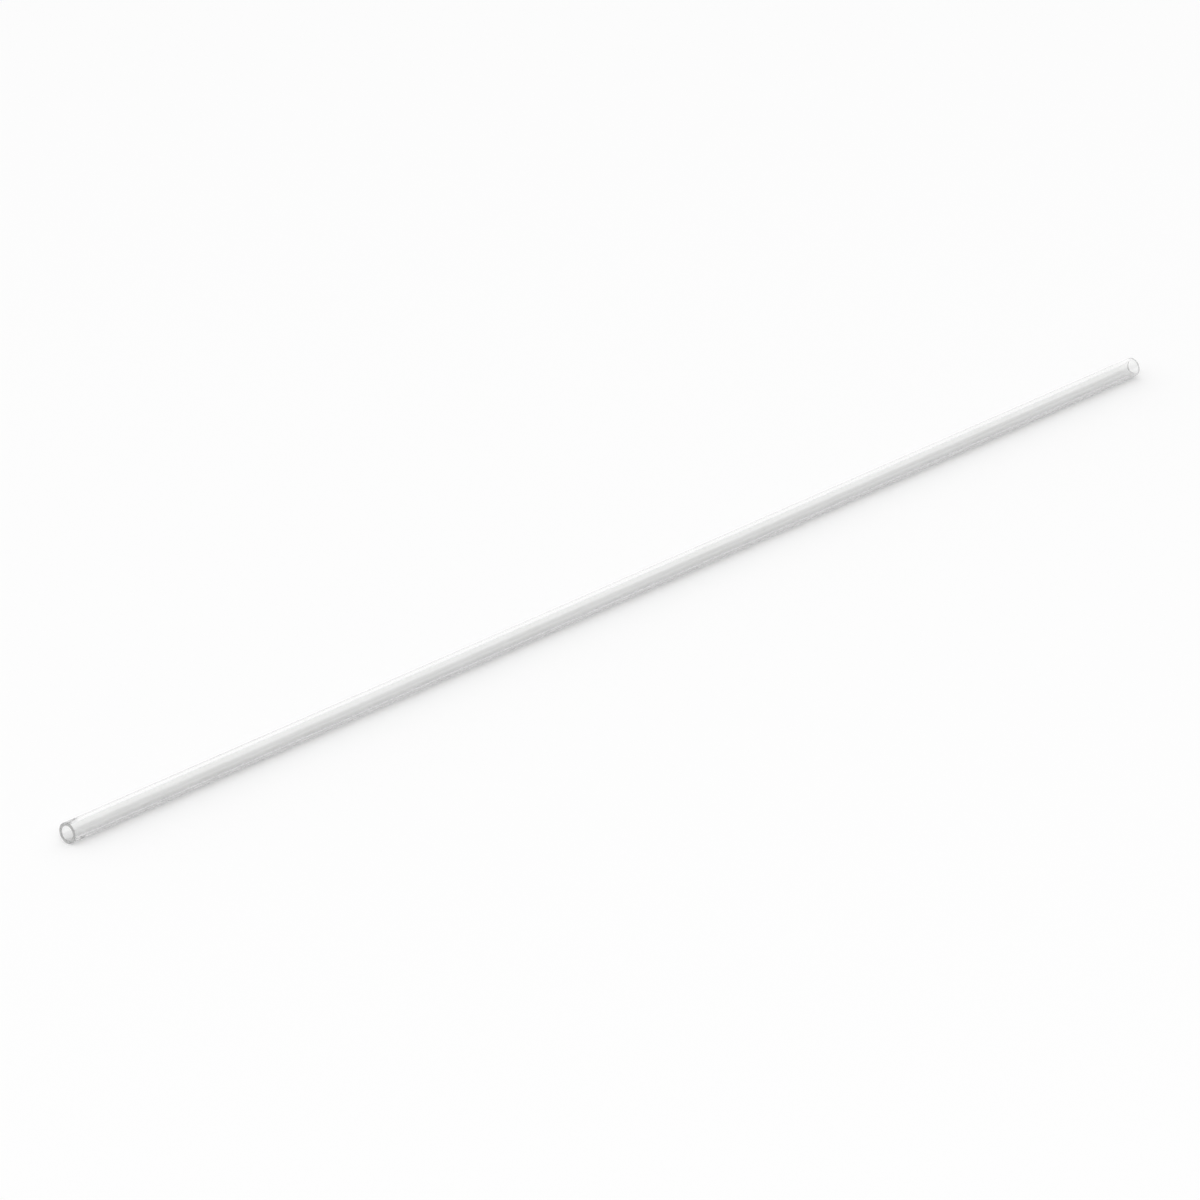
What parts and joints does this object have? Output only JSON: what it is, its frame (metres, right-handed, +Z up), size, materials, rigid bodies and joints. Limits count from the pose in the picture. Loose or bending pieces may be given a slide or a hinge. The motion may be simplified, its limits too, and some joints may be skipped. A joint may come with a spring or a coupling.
{
  "type": "glass capillary tube",
  "caption": "Thin straight glass tube with a fine bore, open at both ends, that draws up and holds a drop of liquid.",
  "frame": {"origin": "on the surface that the tube lies on, straight below the middle of its bore", "axes": "+X along the bore, +Z up"},
  "size_m": [0.1, 0.0012, 0.0013],
  "materials": {
    "clear_glass": "clear drawn glass with lightly polished ends"
  },
  "bodies": {
    "root": {"tube": "clear_glass"}
  },
  "joints": []
}
